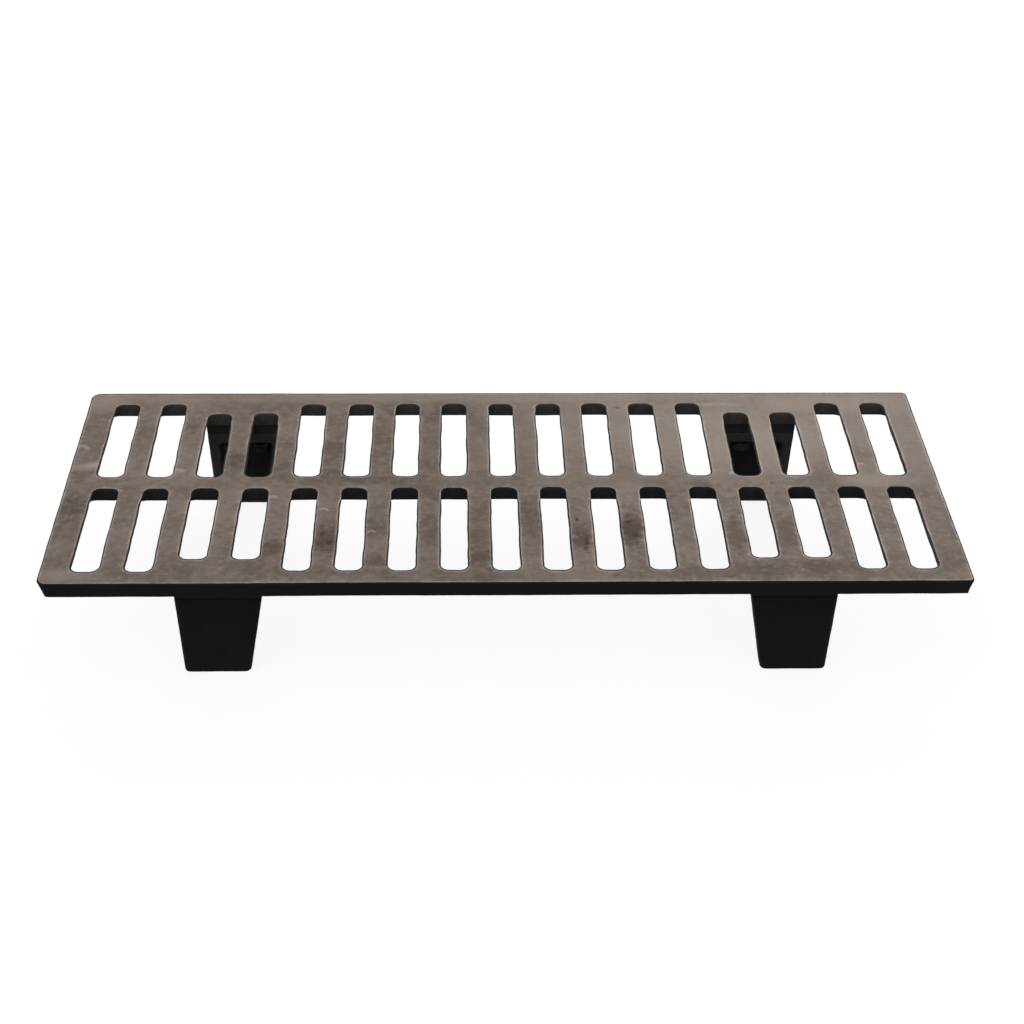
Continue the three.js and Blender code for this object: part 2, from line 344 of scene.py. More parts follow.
NICKS = (
    (-147, -20, 3.2, 10), (-114, -33, 2.6, -15), (-83, -57, 2.4, 5), (-276, 38, 4.0, -25),
    (-262, 12, 8.0, -30), (-210, 9, 4.5, 20), (232, 17, 2.6, 15), (-244, -12, 2.4, 30), (150, 6, 4.0, 0),
)
# The wide pale places along the rear edge, over the rear right and at the right end are painted sheen,
# the windows' light on the bare iron. The smaller ones at the left are pale marks.
PALE_PLACES_AND_SHEEN = (
    (-271, 17, 9, 4, 0.45), (-264, 4, 5, 5, 0.45), (146, 92, 26, 4, 0.50), (-222, 10, 12, 3, 0.35),
    (0, 101, 300, 7, 0.35), (-265, -99, 22, 8, 0.40), (-268, 97, 18, 12, 0.35), (240, 0, 30, 8, 0.35),
    (120, 58, 125, 50, 0.40), (215, 93, 75, 17, 0.40),
)
print(len(STAINS), "stains,", len(BLACK_SPOTS), "black spots and", len(NICKS), "nicks")

# %% The bare top's colours, and how wide its worn rims are
GROUND_GREY = (0.158, 0.127, 0.104)
GROUND_DARK = (0.080, 0.062, 0.051)
GROUND_PALE = (0.238, 0.197, 0.166)
STAIN_BROWN = (0.052, 0.038, 0.034)
SPOT_BLACK = (0.018, 0.012, 0.011)
RIM_PALE = (0.312, 0.264, 0.229)
NICK_BRIGHT = (0.400, 0.350, 0.310)
GRIND_ACROSS = 0.9 * MM
GRIND_STRETCH = (0.06, 1.0, 1.0)
STAIN_SHARE = 0.75
NICK_SHARE = 0.34
FULL_FLAT = 3.4 * MM
RIM_UNEVEN = 0.8 * MM
RUBBED_ZONE = (2.2 * MM, 3.3 * MM)
print("rims are rubbed over the last", round((RUBBED_ZONE[1] - RUBBED_ZONE[0]) / MM, 1), "mm")


# %% The bare top: clouds, grinder's marks, stains, painted sheen, rubbed rims and nicks
def rim_wear(tree, place):
    """How much each stretch of a rim has been rubbed, from hardly to well."""
    return cloud(tree, place, 24 * MM, detail=2.0).between(0.40, 0.72) * 0.42 + 0.24


def ground_iron(tree, place, towards_rim):
    """The colour, roughness and relief of the top."""
    drift = cloud(tree, place, 80 * MM, detail=2.0)
    blotch = cloud(tree, place, 14 * MM, detail=5.0, roughness=0.6, distortion=0.5)
    mottle = cloud(tree, place, 4.5 * MM, detail=3.0, roughness=0.6)
    grain = cloud(tree, place, 1.3 * MM, detail=3.0, roughness=0.7)
    along = place.vector_math("MULTIPLY", GRIND_STRETCH)
    grind = cloud(tree, along, GRIND_ACROSS, detail=2.0, roughness=0.6)
    # Each layer is a pattern, the part of it that shows, how strongly, and in which colour.
    layers = (
        (drift, (0.40, 0.65), 0.40, GROUND_PALE),
        (mottle, (0.50, 0.75), 0.52, GROUND_PALE),
        (mottle, (0.48, 0.28), 0.55, GROUND_DARK),
        (grind, (0.55, 0.80), 0.24, GROUND_PALE),
        (grind, (0.45, 0.20), 0.28, GROUND_DARK),
        (grain, (0.46, 0.18), 0.55, GROUND_DARK),
        (towards_rim, (FULL_FLAT, 0.0), 0.30, GROUND_DARK),
    )
    iron = blend_colours(tree, blotch.between(0.30, 0.70), GROUND_DARK, GROUND_GREY)
    for pattern, ramp, share, colour in layers:
        iron = blend_colours(tree, pattern.between(*ramp) * share, iron, colour)

    ragged = (mottle - 0.5) * 1.6 + (grain - 0.5) * 0.8
    stain = spots(tree, place, ragged, STAINS)
    spot = spots(tree, place, ragged * 0.5, BLACK_SPOTS)
    # pale holds the pale marks and the painted sheen.
    pale = spots(tree, place, ragged, PALE_PLACES_AND_SHEEN)
    nick = crescents(tree, place, ragged * 0.3, NICKS)
    near_rim = towards_rim + (mottle - 0.5) * RIM_UNEVEN
    rubbed = near_rim.between(*RUBBED_ZONE) * rim_wear(tree, place)
    marks = (
        (pale, GROUND_PALE), (stain * STAIN_SHARE, STAIN_BROWN), (rubbed, RIM_PALE),
        (spot, SPOT_BLACK), (nick * NICK_SHARE, NICK_BRIGHT),
    )
    for share, colour in marks:
        iron = blend_colours(tree, share, iron, colour)

    roughness = blotch * 0.16 + (grain * 0.16 + 0.36) + stain * 0.15 - rubbed * 0.15
    relief = grain * 0.5 + grind * 0.7 + mottle - nick * 1.5 - spot
    return iron, roughness, relief


# %% The plate's finish: the bare top, and black coat on the rest
COAT_STARTS = (3.54 * MM, 3.34 * MM)
TOP_LAYER = (TOP - 3.0 * MM, TOP - 2.0 * MM)
RIM_WOBBLE = 0.5 * MM
PLATE_METALLIC = 0.55
GROUND_RELIEF = 0.07 * MM
REAR_DUST_AND_PAINTED_LIGHT = (30 * MM, 80 * MM)


def make_plate_finish():
    material, tree, shader, place = new_material("ground_and_blacked_iron")
    towards_rim = attribute(tree, "towards_rim")
    iron, iron_roughness, iron_relief = ground_iron(tree, place, towards_rim)
    coat, coat_roughness, coat_relief = black_coat(tree, place)
    wobble = cloud(tree, place, 3.0 * MM, detail=3.0, roughness=0.7)
    # The slots' walls are paled towards ash grey, more at the rear: settled ash, and painted light that
    # lifts their shade.
    at_rear = parts_of(tree, place)[1].between(*REAR_DUST_AND_PAINTED_LIGHT)
    dust_and_painted_light = attribute(tree, "in_slot") * (wobble * 0.30 + 0.08) * (at_rear * 1.9 + 0.9)
    coat = blend_colours(tree, dust_and_painted_light, coat, ASH_DUST_AND_PAINTED_LIGHT)
    uneven_rim = towards_rim + (wobble - 0.5) * RIM_WOBBLE
    bare = uneven_rim.between(*COAT_STARTS) * parts_of(tree, place)[2].between(*TOP_LAYER)
    cast_skin = bump(tree, coat_relief * (-bare + 1.0), COAT_RELIEF)
    feed(tree, shader, {
        "Base Color": blend_colours(tree, bare, coat, iron),
        "Roughness": bare * (iron_roughness - coat_roughness) + coat_roughness,
        "Metallic": bare * PLATE_METALLIC,
        "Specular IOR Level": COAT_SPECULAR,
        "Normal": bump(tree, iron_relief * bare, GROUND_RELIEF, under=cast_skin),
    })
    return material


plate_finish = make_plate_finish()
print(plate_finish.name, "has", len(plate_finish.node_tree.nodes), "nodes")

# %% The legs' finish: black coat all over, paled in their hollow backs by ash and painted light
LEG_HOLLOW = (95.2 * MM, 93.5 * MM)


def make_leg_finish():
    material, tree, shader, place = new_material("black_coated_iron")
    colour, roughness, relief = black_coat(tree, place)
    # The hollow back is paled towards ash grey: settled ash, and painted light that lifts the shade
    # inside it.
    from_middle = parts_of(tree, place)[1].math("ABSOLUTE")
    in_hollow = from_middle.between(*LEG_HOLLOW)
    powder_and_painted_light = cloud(tree, place, 5.0 * MM, detail=4.0)
    feed(tree, shader, {
        "Base Color": blend_colours(tree, in_hollow * (powder_and_painted_light * 0.50 + 0.42), colour, ASH_DUST_AND_PAINTED_LIGHT),
        "Roughness": roughness,
        "Specular IOR Level": COAT_SPECULAR,
        "Normal": bump(tree, relief, COAT_RELIEF),
    })
    return material


leg_finish = make_leg_finish()
print(leg_finish.name, "has", len(leg_finish.node_tree.nodes), "nodes")

# %% The fixings' finish: blackened steel, oiled, with specks of rust
STEEL = (0.026, 0.025, 0.026)
STEEL_OILED = (0.010, 0.0095, 0.0095)
STEEL_RUST = (0.034, 0.016, 0.009)
STEEL_METALLIC = 0.35
STEEL_RELIEF = 0.04 * MM


def make_bolt_finish():
    material, tree, shader, place = new_material("blackened_steel")
    film = cloud(tree, place, 6 * MM, detail=4.0)
    speck = cloud(tree, place, 1.1 * MM, detail=3.0, roughness=0.7)
    colour = blend_colours(tree, film.between(0.35, 0.65), STEEL, STEEL_OILED)
    rusty = speck.between(0.60, 0.78) * film.between(0.40, 0.62)
    feed(tree, shader, {
        "Base Color": blend_colours(tree, rusty * 0.8, colour, STEEL_RUST),
        "Roughness": film * 0.25 + (speck * 0.2 + 0.30),
        "Metallic": STEEL_METALLIC,
        "Specular IOR Level": COAT_SPECULAR,
        "Normal": bump(tree, speck, STEEL_RELIEF),
    })
    return material


bolt_finish = make_bolt_finish()
print("made", len(bpy.data.materials), "materials")

# %% [markdown]
# ## The slotted plate
#
# The plate is one flat casting. Its 34 slots follow a rule: 17 columns at one pitch, in a front
# and a rear row on either side of a centre bar. Over each leg two columns stop short, which
# leaves solid iron where the leg is bolted on. Bars are wedges, widest on top, so that whatever
# enters a slot drops through. Nothing about a sand casting is quite straight, so each slot is
# also a little off in width and place, and its outline wanders by a few tenths of a millimetre.
# The corners are worn rounder on the left than on the right.
#
# It could be a slab with 34 cutters, but the cuts would leave sharp edges and stretched faces.
# Here Geometry Nodes draw every outline as a closed curve instead. Filling the curves gives the
# top and the underside. Extruding the same curves step by step down one edge profile gives the
# rounded rims and the leaning walls, so that every edge is as finely shaped as the first.

# %% The plate's sizes
PLATE_WIDTH = PLATE_HIGH.x - PLATE_LOW.x
PLATE_DEPTH = PLATE_HIGH.y - PLATE_LOW.y
PLATE_THICKNESS = 9.525 * MM
UNDERSIDE = TOP - PLATE_THICKNESS
HALF_DEPTH = PLATE_DEPTH / 2
EDGE_ROUND = 1.0 * MM
LOWER_ROUND = 0.3 * MM
WALL_HEIGHT = PLATE_THICKNESS - EDGE_ROUND - LOWER_ROUND
CORNER_POINTS = 7
PLATE_SIZES = {
    "Width": PLATE_WIDTH,
    "Depth": PLATE_DEPTH,
    "Top": TOP,
    "Thickness": PLATE_THICKNESS,
    "Left Corner Radius": 6.5 * MM,
    "Right Corner Radius": 3.2 * MM,
    "Columns": 17,
    "Pitch": 31.55 * MM,
    "Slot Width": 16.2 * MM,
    "Slot Corner Radius": 5.2 * MM,
    "Lower Slot Corner Radius": 2.0 * MM,
    "Centre Bar": 12.7 * MM,
    "Long Slot Margin": 13.6 * MM,
    "Short Slot Margin": 25.4 * MM,
    "Rear End Set In": 1.0 * MM,
    "Bow To The Left": 0.85 * MM,
    "First Short Column": 5,
    "Last Short Column": 6,
    "Bar Taper": math.tan(math.radians(20)),
    "Draft": math.tan(math.radians(1)),
    "Slot Scatter": 0.3 * MM,
    "Outline Wander": 0.27 * MM,
    "Point Spacing": 3.0 * MM,
    "Seed": 7,
    "Iron": plate_finish,
}
print("the plate is", round(PLATE_WIDTH / MM, 1), "by", round(PLATE_DEPTH / MM, 1), "mm")

# %% [markdown]
# Each outline starts as one circle. Every quarter of it moves out to its own corner, so that a
# circle of 28 points becomes a box with round corners of 7 points each. The place of a point on
# the first circle is stored as its facing, the direction that its wall looks in, because the
# walls need it later. Points are then added along the straight sides.

# %% Short names for the nodes that keep, find and move points
def store(tree, geometry, label, value, kind="FLOAT_VECTOR", selection=None):
    """Stores a field on the points of a geometry under a name."""
    inputs = {"Geometry": geometry, "Name": label, "Value": value}
    if selection:
        inputs["Selection"] = selection
    return node(tree, "GeometryNodeStoreNamedAttribute", inputs, data_type=kind, domain="POINT")[0]


def stored(tree, label, kind="FLOAT_VECTOR"):
    return node(tree, "GeometryNodeInputNamedAttribute", {"Name": label}, data_type=kind)[0]


def position_of(tree):
    return node(tree, "GeometryNodeInputPosition")[0]


def move(tree, geometry, position=None, offset=None, selection=None):
    inputs = {"Geometry": geometry}
    for label, value in (("Position", position), ("Offset", offset), ("Selection", selection)):
        if value:
            inputs[label] = value
    return node(tree, "GeometryNodeSetPosition", inputs)[0]


def join(tree, *geometries):
    """Every geometry goes into the one socket of a Join node."""
    made = tree.nodes.new("GeometryNodeJoinGeometry")
    for geometry in geometries:
        feed(tree, made, (geometry,))
    return Field(tree, made.outputs[0])


# %% Outlines: a circle whose quarters move out to four corners
def unit_circle(tree):
    """A circle of radius 1, turned so that no point lies between two corners."""
    points = 4 * CORNER_POINTS
    circle = node(
        tree, "GeometryNodeCurvePrimitiveCircle", {"Resolution": points, "Radius": 1.0}, mode="RADIUS"
    )[0]
    turned = node(
        tree, "GeometryNodeTransform", {"Geometry": circle, "Rotation": (0, 0, math.pi / points)}
    )[0]
    return store(tree, turned, "facing", position_of(tree))


def box_from_circle(tree, circle, centre, half_width, half_length, radius, top):
    """Moves each quarter of a circle to its corner of a box."""
    facing_x, facing_y, _ = parts_of(tree, stored(tree, "facing"))
    x = facing_x.math("SIGN") * (half_width - radius) + facing_x * radius + centre[0]
    y = facing_y.math("SIGN") * (half_length - radius) + facing_y * radius + centre[1]
    return move(tree, circle, position=vector(tree, x, y, top))


def fill_sides(tree, curve, half_width, half_length, spacing):
    """Adds points along the straight sides, which start at the last point of each corner."""
    facing_x = parts_of(tree, stored(tree, "facing"))[0]
    index = node(tree, "GeometryNodeInputIndex")[0]
    place_in_corner = (index + 1.0).math("MODULO", float(CORNER_POINTS))
    starts_side = place_in_corner.math("LESS_THAN", 0.5)
    along_y = facing_x.math("ABSOLUTE").math("GREATER_THAN", 0.5)
    side = (along_y * (half_length - half_width) + half_width) * 2.0
    cuts = (side / spacing).math("FLOOR") * starts_side
    denser = node(tree, "GeometryNodeSubdivideCurve", {"Curve": curve, "Cuts": cuts})[0]
    return store(tree, denser, "facing", stored(tree, "facing").vector_math("NORMALIZE"))


print("an outline starts as a circle of", 4 * CORNER_POINTS, "points")

# %% The slots' outlines, by the rule of the pattern
NO_LIMIT = 1.0


def scatter(tree, amount, label, seed):
    """A random length from -amount to amount, one for each slot."""
    share = node(tree, "FunctionNodeRandomValue", {"ID": label, "Seed": seed})[1]
    return (share - 0.5) * 2.0 * amount


def slot_outlines(tree, size):
    circle = unit_circle(tree)
    amount = size["Columns"] * 2.0
    copies, number = node(
        tree, "GeometryNodeDuplicateElements", {"Geometry": circle, "Amount": amount}, domain="SPLINE"
    )
    copies = store(tree, copies, "slot", number, kind="FLOAT")
    slot = stored(tree, "slot", "FLOAT")
    column = (slot / 2.0).math("FLOOR") - (size["Columns"] - 1.0) / 2.0
    side = slot.math("MODULO", 2.0) * 2.0 - 1.0
    from_middle = column.math("ABSOLUTE")
    after_first = from_middle.math("GREATER_THAN", size["First Short Column"] - 0.5)
    before_last = from_middle.math("LESS_THAN", size["Last Short Column"] + 0.5)
    extra_margin = size["Short Slot Margin"] - size["Long Slot Margin"]
    margin = after_first * before_last * extra_margin + size["Long Slot Margin"]
    wider, shifted, longer = (
        scatter(tree, size["Slot Scatter"], slot, size["Seed"] + step) for step in (0.0, 1.0, 2.0)
    )
    near = size["Centre Bar"] / 2.0
    far = size["Depth"] / 2.0 - margin + longer
    half_width = (size["Slot Width"] + wider) / 2.0
    half_length = (far - near - size["Rear End Set In"]) / 2.0
    share_out = from_middle / ((size["Columns"] - 1.0) / 2.0)
    bow = (share_out * share_out - 1.0) * size["Bow To The Left"]
    centre_x = column * size["Pitch"] + bow + shifted
    centre_y = side * (near + far) / 2.0 - size["Rear End Set In"] / 2.0
    centre = (centre_x, centre_y)
    boxes = box_from_circle(
        tree, copies, centre, half_width, half_length, size["Slot Corner Radius"], size["Top"]
    )
    boxes = store(tree, boxes, "in_slot", 1.0, kind="FLOAT")
    boxes = store(tree, boxes, "rear_end", centre_y + half_length, kind="FLOAT")
    boxes = store(tree, boxes, "free_inset", NO_LIMIT, kind="FLOAT")
    return fill_sides(tree, boxes, half_width, half_length, size["Point Spacing"])


# %% [markdown]
# The plate's own outline is made in the same way. Air is outside it and inside a slot, so the
# direction that a wall looks in, from iron into air, is outwards on one and inwards on the other.
# The wander moves points along it. On the plate it only ever moves inwards, so that the plate
# stays within its size.

# %% All outlines, with the direction from iron into air
WANDER_WAVE = 20 * MM
LEAST_CORNER = 0.5 * MM
# The black coat is brought onto the flat where a rim faces the rear, a painted dark line of shade, and
# kept off the rims at the slots' rear ends, a painted highlight of bare iron.
PAINTED_SHADE_FACING_REAR = 0.8 * MM
PAINTED_HIGHLIGHT_AT_REAR_END = 0.8 * MM
REAR_END_ZONE = (-17 * MM, -12 * MM)


def wander(tree, curves, amount, lowest, seed):
    """Moves an outline along its facing by smooth noise, from lowest to 1 times amount."""
    shifted = position_of(tree).vector_math("ADD", vector(tree, z=seed))
    wave = cloud(tree, shifted, WANDER_WAVE, detail=3.0, roughness=0.5).between(0.3, 0.7)
    step = (wave * (1.0 - lowest) + lowest) * amount
    return move(tree, curves, offset=stored(tree, "facing").scaled(step))


def plate_outlines(tree, size):
    half_width = size["Width"] / 2.0
    half_length = size["Depth"] / 2.0
    circle = unit_circle(tree)
    on_right = parts_of(tree, stored(tree, "facing"))[0].math("GREATER_THAN", 0.0)
    left, right = size["Left Corner Radius"], size["Right Corner Radius"]
    radius = on_right * (right - left) + left
    slab = box_from_circle(tree, circle, (0.0, 0.0), half_width, half_length, radius, size["Top"])
    slab = store(tree, slab, "free_inset", radius - LEAST_CORNER, kind="FLOAT")
    slab = fill_sides(tree, slab, half_width, half_length, size["Point Spacing"])
    slab = wander(tree, slab, -size["Outline Wander"], 0.0, size["Seed"])
    slots = wander(tree, slot_outlines(tree, size), size["Outline Wander"], -1.0, size["Seed"])
    slots = store(tree, slots, "facing", stored(tree, "facing").scaled(-1.0))
    both = join(tree, slab, slots)
    both = store(tree, both, "coat_shift_painted_light", coat_shift_painted_light(tree), kind="FLOAT")
    return store(tree, both, "outline", position_of(tree))


def coat_shift_painted_light(tree):
    """How much nearer to the flat the black coat begins than it does on the rule: nearer where a rim
    faces the rear, which is painted shade, and farther at the slots' rear ends, which is a painted
    highlight of bare iron.
    """
    y = parts_of(tree, position_of(tree))[1]
    air_y = parts_of(tree, stored(tree, "facing"))[1]
    facing_rear = air_y.math("MAXIMUM", 0.0)
    at_rear_end = (y - stored(tree, "rear_end", "FLOAT")).between(*REAR_END_ZONE)
    painted_highlight = at_rear_end * stored(tree, "in_slot", "FLOAT")
    return facing_rear * PAINTED_SHADE_FACING_REAR - painted_highlight * PAINTED_HIGHLIGHT_AT_REAR_END


# %% [markdown]
# The edge profile is a list of steps. Each has three numbers: how far it lies on the air side of
# the outline, how far down it is, and what share of the leaning wall is above it. The first steps
# are flat rings on the top face. They keep the smooth shading of the rim off the flat, and they
# give the finish its points to count from.
#
# A slot's round corners get tighter on the way down, where the sand core was pressed square. So
# the profile also moves a corner's points towards the corner that the two walls would meet in.
# The same move keeps the innermost rings apart at the plate's tight right corners: their radius
# would be used up before they are that far in.

# %% The edge profile, from the top face round the rim and down to the underside
RIM_RINGS = (4.4 * MM, 2.6 * MM, 1.6 * MM)
LOWER_RING = 1.6 * MM
ROUND_STEPS = 5
WALL_STEPS = 4
FIRST_FACING = math.sin(math.pi / (4 * CORNER_POINTS))


def edge_profile(thickness):
    quarter = [math.radians(90) * step / ROUND_STEPS for step in range(ROUND_STEPS + 1)]
    steps = [(-ring, 0.0, 0.0) for ring in RIM_RINGS]
    steps += [
        (-EDGE_ROUND * (1 - math.sin(turn)), EDGE_ROUND * (1 - math.cos(turn)), 0.0)
        for turn in quarter
    ]
    for step in range(1, WALL_STEPS):
        share = step / WALL_STEPS
        steps.append((0.0, EDGE_ROUND + WALL_HEIGHT * share, share))
    steps += [
        (-LOWER_ROUND * (1 - math.cos(turn)), thickness - LOWER_ROUND * (1 - math.sin(turn)), 1.0)
        for turn in quarter
    ]
    steps.append((-LOWER_RING, thickness, 1.0))
    return steps


def towards_corner(air):
    """How far, in radii, a point of a round corner lies from the corner itself along one axis."""
    side = (air / FIRST_FACING).math("MINIMUM", 1.0).math("MAXIMUM", -1.0)
    return air - side


def profile_place(tree, size, step):
    """Where the outline's points are at a step of the profile."""
    out, down, share = step
    air_x, air_y, _ = parts_of(tree, stored(tree, "facing"))
    lean = WALL_HEIGHT * share
    tighter = size["Slot Corner Radius"] - size["Lower Slot Corner Radius"]
    used_up = (-stored(tree, "free_inset", "FLOAT") - out).math("MAXIMUM", 0.0)
    corner_move = stored(tree, "in_slot", "FLOAT") * tighter * share + used_up
    x = air_x * (size["Bar Taper"] * -lean + out) + towards_corner(air_x) * corner_move
    y = air_y * (size["Draft"] * -lean + out) + towards_corner(air_y) * corner_move
    return stored(tree, "outline").vector_math("ADD", vector(tree, x, y, -down))


print("the edge profile has", len(edge_profile(PLATE_THICKNESS)), "steps")

# %% The plate's tree: filled outlines above and below, and one profile extruded round them
MERGE_DISTANCE = 0.005 * MM


def filled(tree, curves, height):
    """A face inside the outlines. The node fills them at height 0, so the face is lifted."""
    face = node(tree, "GeometryNodeFillCurve", {"Curve": curves}, mode="TRIANGLES")[0]
    return move(tree, face, offset=vector(tree, z=height))


def plate_tree(sizes):
    tree, _, size, end = geometry_tree("slotted_plate", sizes)
    outlines = plate_outlines(tree, size)
    steps = edge_profile(sizes["Thickness"])
    first, last = (
        move(tree, outlines, position=profile_place(tree, size, step)) for step in (steps[0], steps[-1])
    )
    top = filled(tree, first, size["Top"])
    bottom = filled(tree, last, size["Top"] - size["Thickness"])
    walls = node(tree, "GeometryNodeCurveToMesh", {"Curve": first})[0]
    # The first step extrudes every edge, and each later one the edges of the step before it.
    edge = True
    for step in steps[1:]:
        inputs = {"Mesh": walls, "Selection": edge, "Offset Scale": 0.0}
        walls, edge, _ = node(tree, "GeometryNodeExtrudeMesh", inputs, mode="EDGES")
        walls = move(tree, walls, position=profile_place(tree, size, step), selection=edge)
        come_so_far = stored(tree, "coat_shift_painted_light", "FLOAT") + (step[0] - steps[0][0] + step[1])
        walls = store(tree, walls, "towards_rim", come_so_far, "FLOAT", edge)
    whole = join(tree, top, walls, bottom)
    merged = node(tree, "GeometryNodeMergeByDistance", {"Geometry": whole, "Distance": MERGE_DISTANCE})[0]
    finish_tree(tree, merged, size["Iron"], end)
    return tree


# %% Make the plate, and turn the faces of the closed mesh outwards
def turn_outwards(mesh):
    shape = bmesh.new()
    shape.from_mesh(mesh)
    bmesh.ops.recalc_face_normals(shape, faces=shape.faces)
    shape.to_mesh(mesh)
    shape.free()


plate = make_with_tree("plate_casting", plate_tree(PLATE_SIZES), PLATE_SIZES)
turn_outwards(plate.data)
for label in ("facing", "outline", "slot", "free_inset", "rear_end", "coat_shift_painted_light"):
    plate.data.attributes.remove(plate.data.attributes[label])
print("plate:", len(plate.data.vertices), "points,", len(plate.data.polygons), "faces")

# %% [markdown]
# ## Solids between outlines
#
# Legs and seat pads are tapered blocks with rounded corners. A cube with a bevel would give
# one radius everywhere. A loft is more exact: it joins a stack of level outlines, each with its
# own size and corner radius, so the taper and the rounded foot come from the same few numbers.

# %% A loft through outlines with equal numbers of points
OUTLINE_STEPS = 6


def rounded_box(sides, radius, z):
    """A level outline of a box of sides (west, east, south, north), anticlockwise from above."""
    west, east, south, north = sides
    corners = (
        (east - radius, north - radius, 0), (west + radius, north - radius, 90),
        (west + radius, south + radius, 180), (east - radius, south + radius, 270),
    )
    outline = []
    for x, y, start in corners:
        for step in range(OUTLINE_STEPS + 1):
            turn = math.radians(start + 90 * step / OUTLINE_STEPS)
            outline.append(Vector((x + radius * math.cos(turn), y + radius * math.sin(turn), z)))
    return outline


def shrunk(sides, amount):
    west, east, south, north = sides
    return (west + amount, east - amount, south + amount, north - amount)


def loft(name, outlines):
    shape = bmesh.new()
    rings = [[shape.verts.new(point) for point in outline] for outline in outlines]
    for low, high in zip(rings, rings[1:]):
        for i in range(len(low)):
            j = (i + 1) % len(low)
            shape.faces.new((low[i], low[j], high[j], high[i]))
    shape.faces.new(reversed(rings[0]))
    shape.faces.new(rings[-1])
    bmesh.ops.recalc_face_normals(shape, faces=shape.faces)
    mesh = bpy.data.meshes.new(name)
    shape.to_mesh(mesh)
    shape.free()
    return mesh


# %% Join meshes, mirror one, and add a solid to a piece or cut it out
def joined(name, meshes):
    shape = bmesh.new()
    for mesh in meshes:
        shape.from_mesh(mesh)
    result = bpy.data.meshes.new(name)
    shape.to_mesh(result)
    shape.free()
    return result


def mirrored(mesh, side_x, side_y):
    """A copy on another side of the grate. A mirror turns faces inside out, so they are flipped."""
    copy = mesh.copy()
    copy.transform(Matrix.Diagonal((side_x, side_y, 1, 1)))
    if side_x * side_y < 0:
        copy.flip_normals()
    return copy


# A cutter starts a little before the face that it cuts, because two faces in one plane confuse it.
CUT_PAST = 1.0 * MM


def cut_or_add(piece, tool_mesh, operation):
    """Changes a piece with a solid and leaves the piece a plain mesh."""
    tool = add_object("tool", tool_mesh)
    change = piece.modifiers.new("change", "BOOLEAN")
    change.operation = operation
    change.solver = "EXACT"
    change.object = tool
    make_plain(piece)
    bpy.data.objects.remove(tool)


# %% [markdown]
# ## Seat pads
#
# Under the plate stand four cast pads, one for each leg. Each has two blind holes for the leg's
# bolts. A pad has the same sides as the leg below it, so that the two read as one taper. Where
# it meets the plate the pattern maker left a small fillet, because molten iron cracks at a
# sharp inner corner. The side next to the slots has none, because there is no room.

# %% The leg's sides at a height, as the pad and the leg share them
LEGS = {"front_left": (-1, -1), "front_right": (1, -1), "rear_left": (-1, 1), "rear_right": (1, 1)}
# How far out from the middle of the grate a leg's sides are, under the plate and at the floor.
LEG_OUTER = (200.7 * MM, 198.8 * MM)
LEG_INNER = (146.1 * MM, 158.0 * MM)
LEG_RECESS = 8.5 * MM
LEG_BACK = 24.2 * MM
LEG_FACE_DRAFT = math.tan(math.radians(1))
LEG_CORNER = 2.2 * MM
PAD_FACE = PLATE_LOW.z
LEG_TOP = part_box("leg_rear_right")[1].z
print("a leg reaches up to", round(LEG_TOP / MM, 1), "mm, and its pad down to", round(PAD_FACE / MM, 1))


def leg_sides(z):
    down = UNDERSIDE - z
    part = down / UNDERSIDE
    return (
        LEG_INNER[0] + (LEG_INNER[1] - LEG_INNER[0]) * part,
        LEG_OUTER[0] + (LEG_OUTER[1] - LEG_OUTER[0]) * part,
        HALF_DEPTH - LEG_BACK + down * LEG_FACE_DRAFT,
        HALF_DEPTH - LEG_RECESS - down * LEG_FACE_DRAFT,
    )


# %% The outlines of a pad: a rounded edge below, and a fillet above
SEAT_ROUND = 0.35 * MM
PAD_FILLET = 1.6 * MM
PAD_SINK = 0.5 * MM
QUARTER_STEPS = 6
QUARTER = [math.radians(90 * step / QUARTER_STEPS) for step in range(QUARTER_STEPS + 1)]


def rounded_edge(level, radius, corner, inwards=1):
    """Outlines round the edge of an end face, which lies at a level. Inwards is 1 for upwards."""
    outlines = []
    for turn in QUARTER:
        z = level + inwards * radius * (1 - math.cos(turn))
        inset = radius * (1 - math.sin(turn))
        outlines.append(rounded_box(shrunk(leg_sides(z), inset), corner - inset, z))
    return outlines


def seat_pad():
    outlines = rounded_edge(PAD_FACE, SEAT_ROUND, LEG_CORNER)
    for turn in QUARTER:
        z = UNDERSIDE - PAD_FILLET * (1 - math.sin(turn))
        flare = PAD_FILLET * (1 - math.cos(turn))
        west, east, south, north = leg_sides(z)
        sides = (west - flare, east + flare, south, north + flare)
        outlines.append(rounded_box(sides, LEG_CORNER, z))
    west, east, south, north = leg_sides(UNDERSIDE)
    sides = (west - PAD_FILLET, east + PAD_FILLET, south, north + PAD_FILLET)
    outlines.append(rounded_box(sides, LEG_CORNER, UNDERSIDE + PAD_SINK))
    return loft("seat_pad", outlines)


# %% The holes for the bolts, at the bolts' own places in the frame
# The radius of a quarter-inch bolt, and 0.3 mm of room.
HOLE_RADIUS = 3.475 * MM
HOLE_SIDES = 32
HOLE_DEPTH = 12.5 * MM


def node_names(kind):
    return [f"{kind}_{leg}_{end}" for leg in LEGS for end in ("inner", "outer")]


def places_of(kind):
    """The middle of each bolt's or washer's box in the frame."""
    boxes = [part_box(name) for name in node_names(kind)]
    return [(low + high) / 2 for low, high in boxes]


def circle(centre, radius, z):
    turns = [2 * math.pi * step / HOLE_SIDES for step in range(HOLE_SIDES)]
    return [
        Vector((centre[0] + radius * math.cos(t), centre[1] + radius * math.sin(t), z)) for t in turns
    ]


def upright_holes(low, high):
    return joined("holes", [
        loft("hole", [circle(place, HOLE_RADIUS, low), circle(place, HOLE_RADIUS, high)])
        for place in places_of("bolt")
    ])


